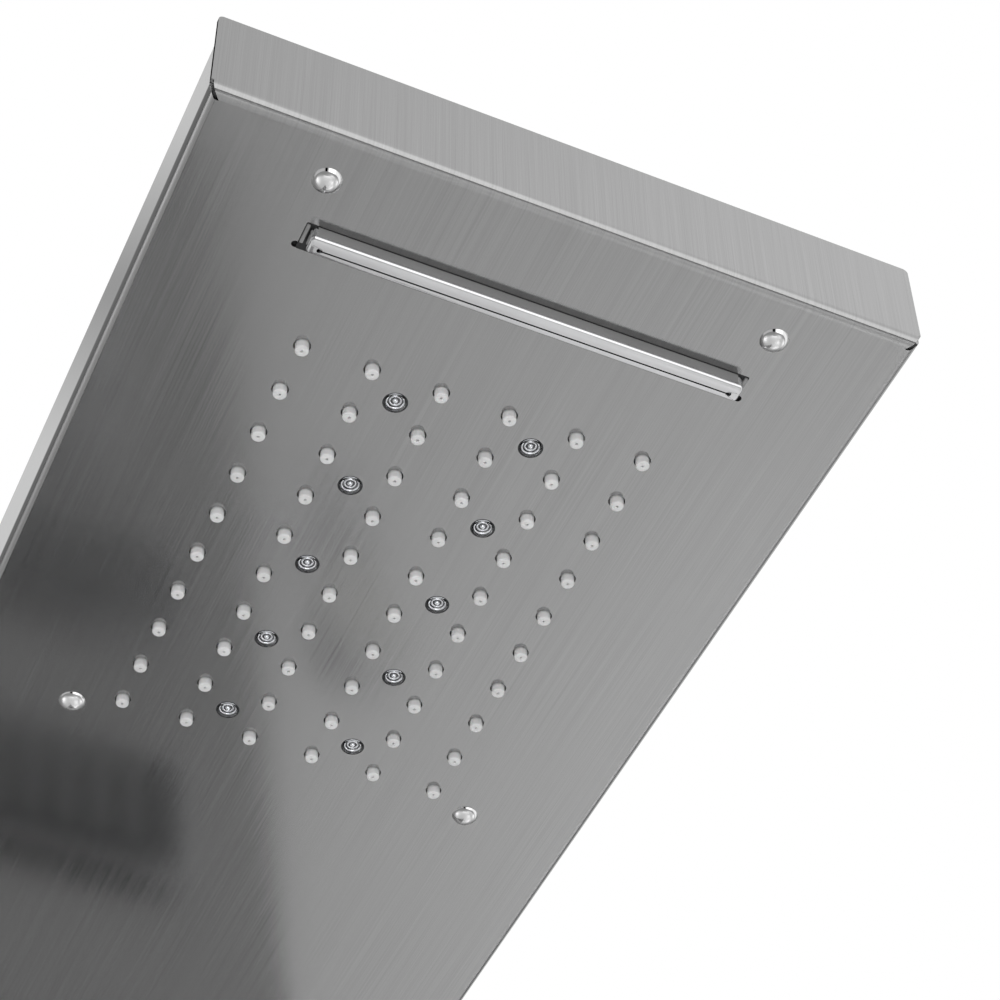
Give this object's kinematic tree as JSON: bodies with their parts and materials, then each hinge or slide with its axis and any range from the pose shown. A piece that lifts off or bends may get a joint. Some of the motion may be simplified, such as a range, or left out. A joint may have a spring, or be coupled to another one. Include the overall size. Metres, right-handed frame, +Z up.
{
  "type": "shower panel column",
  "caption": "Wall-hung shower panel of bent brushed steel with a tilted rain and waterfall head, massage sprays, mixer, diverter, tub spout and hand shower.",
  "frame": {"origin": "centre of the four wall fixing holes, in the plane of the wall", "axes": "+X to the right of a person who faces the wall, +Y into the wall, +Z up along the column"},
  "size_m": [0.2725, 0.4752, 1.282],
  "materials": {
    "brushed_panel": "brushed along the panel's length",
    "chrome_metal": "polished chrome on brass",
    "chrome_plastic": "chrome-plated plastic",
    "polished_steel": "mirror-polished stainless steel",
    "plain_steel": "plain stainless steel",
    "cast_brass": "turned and cast brass",
    "copper_pipe": "drawn copper",
    "silicone": "pale translucent silicone",
    "black_rubber": "matte black rubber",
    "grey_hose": "braided grey hose",
    "black_abs": "satin moulded plastic",
    "white_plastic": "moulded plastic",
    "clear_lens": "clear moulded lens",
    "light_chip": "light chip",
    "board_green": "circuit board"
  },
  "bodies": {
    "panel": {"panel_shell": "brushed_panel", "nozzle_mat": "silicone", "rain_chamber": "black_abs", "chamber_seal": "black_rubber", "chamber_cover": "black_abs", "led_lenses": "clear_lens", "led_chips": "light_chip", "led_boards": "board_green", "led_cables": "black_rubber", "waterfall_spout": "chrome_metal", "waterfall_duct": "black_abs", "head_dome_screws": "polished_steel", "head_screw_nuts": "plain_steel", "generator_housing": "black_abs", "generator_lid": "black_abs", "generator_hose": "grey_hose", "rain_hose": "grey_hose", "waterfall_hose": "grey_hose", "spray_frame_upper": "chrome_plastic", "spray_frame_lower": "chrome_plastic", "spray_nuts": "plain_steel", "spray_feed_hose": "grey_hose", "spray_link_hose": "grey_hose", "diverter_body": "cast_brass", "diverter_bonnet": "cast_brass", "diverter_collar": "chrome_metal", "mixer_body": "cast_brass", "mixer_cartridge": "white_plastic", "mixer_ring": "cast_brass", "mixer_collar": "chrome_metal", "link_pipe": "copper_pipe", "hot_inlet_elbow": "cast_brass", "cold_inlet_elbow": "cast_brass", "tub_spout": "chrome_metal", "spout_seal": "black_rubber", "spout_nut": "cast_brass", "spout_elbow": "cast_brass", "spout_hose": "grey_hose", "flow_straightener": "white_plastic", "outlet_hose": "grey_hose", "hose_outlet": "chrome_metal", "outlet_nut": "cast_brass", "wall_brackets": "plain_steel", "bracket_screws": "polished_steel", "holder_bracket": "chrome_metal", "holder_bolt": "polished_steel"},
    "turbine": {"turbine_rotor": "white_plastic"},
    "spray_upper": {"spray_block_upper": "black_abs", "spray_nozzles_upper": "silicone"},
    "spray_lower": {"spray_block_lower": "black_abs", "spray_nozzles_lower": "silicone"},
    "diverter": {"diverter_spindle": "white_plastic", "diverter_knob": "chrome_metal"},
    "mixer_turner": {"mixer_cap": "chrome_metal", "mixer_pin": "plain_steel"},
    "mixer_handle": {"mixer_lever": "chrome_metal"},
    "cradle": {"holder_cradle": "chrome_plastic"},
    "hand_shower": {"hand_shower_body": "chrome_plastic", "hand_shower_face": "white_plastic", "hand_shower_tail": "chrome_metal"}
  },
  "joints": [
    {"name": "turbine_spin", "type": "hinge", "parent": "panel", "child": "turbine", "pos_m": [0, -0.17723, 0.60705], "axis": [0, 0.2588, 0.9659], "continuous": true},
    {"name": "spray_tilt_upper", "type": "hinge", "parent": "panel", "child": "spray_upper", "pos_m": [0, -0.04, 0.331], "axis": [1, 0, 0], "range_deg": [-12, 12]},
    {"name": "spray_tilt_lower", "type": "hinge", "parent": "panel", "child": "spray_lower", "pos_m": [0, -0.04, 0.13], "axis": [1, 0, 0], "range_deg": [-12, 12]},
    {"name": "diverter_turn", "type": "hinge", "parent": "panel", "child": "diverter", "pos_m": [0, -0.07, -0.05], "axis": [0, -1, 0], "range_deg": [-120, 120]},
    {"name": "mixer_turn", "type": "hinge", "parent": "panel", "child": "mixer_turner", "pos_m": [0, -0.07, -0.2], "axis": [0, -1, 0], "range_deg": [-50, 50]},
    {"name": "mixer_lift", "type": "hinge", "parent": "mixer_turner", "child": "mixer_handle", "pos_m": [0, -0.0783, -0.2], "axis": [-1, 0, 0], "range_deg": [0, 22]},
    {"name": "holder_swivel", "type": "hinge", "parent": "panel", "child": "cradle", "pos_m": [0.12, -0.052, 0.02], "axis": [1, 0, 0], "range_deg": [-10, 20]},
    {"name": "hand_lift", "type": "slide", "parent": "cradle", "child": "hand_shower", "axis": [0, 0, 1], "range_m": [0, 0.1]}
  ]
}
